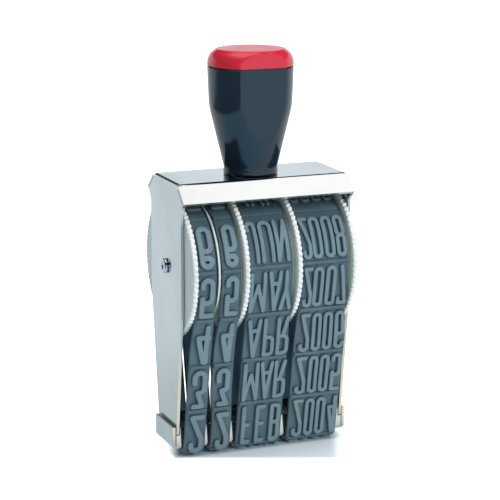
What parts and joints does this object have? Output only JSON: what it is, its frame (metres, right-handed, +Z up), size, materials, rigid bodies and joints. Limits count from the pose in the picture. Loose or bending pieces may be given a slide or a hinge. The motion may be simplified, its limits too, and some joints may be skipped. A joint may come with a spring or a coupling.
{
  "type": "date stamp",
  "caption": "Hand date stamp with rubber type bands run over toothed wheels in a bent steel frame and foot tray, under a moulded handle with a coloured cap.",
  "frame": {"origin": "on the desk below the middle of the frame, at the height of the printing type", "axes": "+X along the wheel axle from the day bands to the year band, -Y the front seen in the picture, +Z up through the handle"},
  "size_m": [0.0656, 0.05, 0.141],
  "materials": {
    "frame_sheet": "bright plated sheet",
    "tray_sheet": "bright plated sheet",
    "axle_steel": "plated, semi-bright",
    "screw_steel": "zinc plated",
    "disc_plastic": "smooth",
    "wheel_plastic": "satin",
    "band_rubber": "matt",
    "handle_plastic": "gloss",
    "cap_plastic": "gloss"
  },
  "bodies": {
    "housing": {"frame": "frame_sheet", "foot_tray": "tray_sheet", "axle_pin": "axle_steel", "axle_sleeve": "axle_steel", "spacer_disc": "disc_plastic", "band_day_tens": "band_rubber", "band_day_units": "band_rubber", "band_month": "band_rubber", "band_year": "band_rubber", "handle": "handle_plastic", "handle_cap": "cap_plastic", "handle_screw": "screw_steel", "lock_washer": "screw_steel"},
    "wheel_day_tens_body": {"wheel_day_tens": "wheel_plastic"},
    "wheel_day_units_body": {"wheel_day_units": "wheel_plastic"},
    "wheel_month_body": {"wheel_month": "wheel_plastic"},
    "wheel_year_body": {"wheel_year": "wheel_plastic"}
  },
  "joints": [
    {"name": "wheel_day_tens_turn", "type": "hinge", "parent": "housing", "child": "wheel_day_tens_body", "pos_m": [0, 0, 0.0668], "axis": [1, 0, 0], "continuous": true},
    {"name": "wheel_day_units_turn", "type": "hinge", "parent": "housing", "child": "wheel_day_units_body", "pos_m": [0, 0, 0.0668], "axis": [1, 0, 0], "continuous": true},
    {"name": "wheel_month_turn", "type": "hinge", "parent": "housing", "child": "wheel_month_body", "pos_m": [0, 0, 0.0668], "axis": [1, 0, 0], "continuous": true},
    {"name": "wheel_year_turn", "type": "hinge", "parent": "housing", "child": "wheel_year_body", "pos_m": [0, 0, 0.0668], "axis": [1, 0, 0], "continuous": true}
  ]
}
